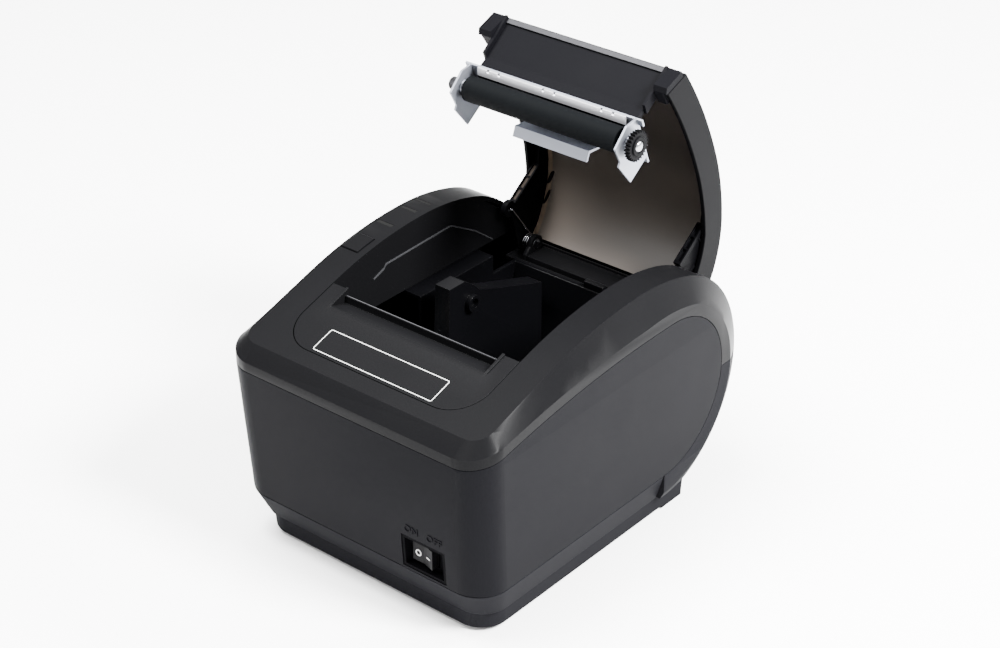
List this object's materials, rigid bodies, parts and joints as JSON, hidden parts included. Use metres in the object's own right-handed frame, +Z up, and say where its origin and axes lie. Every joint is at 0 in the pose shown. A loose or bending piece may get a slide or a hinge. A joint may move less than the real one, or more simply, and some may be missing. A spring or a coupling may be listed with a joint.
{
  "type": "receipt printer",
  "caption": "Counter-top thermal receipt printer with a hinged paper cover raised over an open roll bin, a platen roller in the cover and a cutter under a lift-off deck.",
  "frame": {"origin": "on the desk, under the middle of the printer as pictured with its cover raised", "axes": "+Z up, +X to the right of the printer seen from its front, front towards -Y"},
  "size_m": [0.145, 0.194, 0.2063],
  "materials": {
    "black_abs": "fine spark-eroded texture",
    "grey_panel_abs": "fine spark-eroded texture",
    "bin_abs": "satin",
    "smoked_cover": "smoked, satin",
    "key_plastic": "satin",
    "light_bars": "diffuse",
    "gear_plastic": "moulded acetal",
    "galvanised_sheet": "zinc plated sheet",
    "ground_steel": "ground",
    "bright_wire": "bright drawn",
    "platen_rubber": "ground",
    "foot_rubber": "matte",
    "black_strip": "satin",
    "head_ceramic": "glazed",
    "sink_aluminium": "extruded",
    "motor_steel": "plated can",
    "board_laminate": "solder mask",
    "brass_posts": "turned",
    "socket_plastic": "moulded",
    "socket_shell": "nickel plated",
    "panel_steel": "black paint"
  },
  "bodies": {
    "case": {"base_tray": "black_abs", "top_bezel": "black_abs", "rear_cover": "black_abs", "hinge_beam": "black_abs", "switch_housing": "black_abs", "main_shell": "grey_panel_abs", "paper_bin": "bin_abs", "roll_divider": "bin_abs", "status_lights": "light_bars", "mechanism_frame": "galvanised_sheet", "cutter_frame": "galvanised_sheet", "drive_gear_stud": "ground_steel", "base_screws": "ground_steel", "hinge_pins": "bright_wire", "head_springs": "bright_wire", "rubber_feet": "foot_rubber", "paper_sensor": "black_strip", "cover_sensor": "black_strip", "print_head": "head_ceramic", "head_heatsink": "sink_aluminium", "feed_motor": "motor_steel", "cutter_motor": "motor_steel", "main_board": "board_laminate", "key_board": "board_laminate", "board_posts": "brass_posts", "power_inlet": "socket_plastic", "drawer_socket": "socket_plastic", "usb_socket": "socket_shell", "network_socket": "socket_shell", "connector_panel": "panel_steel"},
    "cover": {"lid_shell": "smoked_cover", "lid_cheek_left": "smoked_cover", "lid_cheek_right": "smoked_cover", "lid_nose": "black_abs", "tear_bar": "ground_steel", "platen_bracket": "galvanised_sheet", "fixed_blade": "ground_steel", "blade_holder": "black_strip", "paper_guide": "galvanised_sheet", "bracket_screws": "ground_steel", "lid_spring": "bright_wire", "platen_bushings": "ground_steel"},
    "platen": {"platen_shaft": "ground_steel", "platen_rubber": "platen_rubber", "platen_gear": "gear_plastic", "platen_end_bush": "ground_steel"},
    "deck": {"deck_cover": "black_abs"},
    "feed_key": {"feed_button": "key_plastic"},
    "rocker": {"power_rocker": "key_plastic"},
    "drive_wheel": {"drive_gear": "gear_plastic"},
    "pinion": {"motor_pinion": "gear_plastic"},
    "cutter_wheel": {"cutter_gear": "gear_plastic"},
    "cutter": {"cutter_blade": "ground_steel"}
  },
  "joints": [
    {"name": "lid_hinge", "type": "hinge", "parent": "case", "child": "cover", "pos_m": [0, 0.07747, 0.086], "axis": [1, 0, 0], "range_deg": [0, 68.3]},
    {"name": "platen_spin", "type": "hinge", "parent": "cover", "child": "platen", "pos_m": [0, 0.03233, 0.18105], "axis": [1, 0, 0], "continuous": true},
    {"name": "deck_lift", "type": "slide", "parent": "case", "child": "deck", "axis": [0, 0, 1], "range_m": [0, 0.012]},
    {"name": "feed_press", "type": "slide", "parent": "case", "child": "feed_key", "axis": [0, 0, -1], "range_m": [0, 0.001], "stiffness_N_per_m": 600, "springref_m": -0.0008},
    {"name": "rocker_tilt", "type": "hinge", "parent": "case", "child": "rocker", "pos_m": [0.0366, -0.08863, 0.034], "axis": [0, 0, 1], "range_deg": [0, 16]},
    {"name": "drive_spin", "type": "hinge", "parent": "case", "child": "drive_wheel", "pos_m": [0.0493, -0.04188, 0.06963], "axis": [1, 0, 0], "continuous": true},
    {"name": "pinion_spin", "type": "hinge", "parent": "case", "child": "pinion", "pos_m": [0.0493, -0.05504, 0.066], "axis": [1, 0, 0], "continuous": true},
    {"name": "cutter_turn", "type": "hinge", "parent": "case", "child": "cutter_wheel", "pos_m": [-0.0275, -0.05503, 0.0924], "axis": [1, 0, 0], "range_deg": [0, 71.02]},
    {"name": "cutter_slide", "type": "slide", "parent": "case", "child": "cutter", "axis": [0, 1, 0], "range_m": [0, 0.008]}
  ],
  "couplings": [
    {"joint": "pinion_spin", "follows": "drive_spin", "ratio": -2.375},
    {"joint": "cutter_turn", "follows": "cutter_slide", "rad_per_m": 153.85}
  ]
}
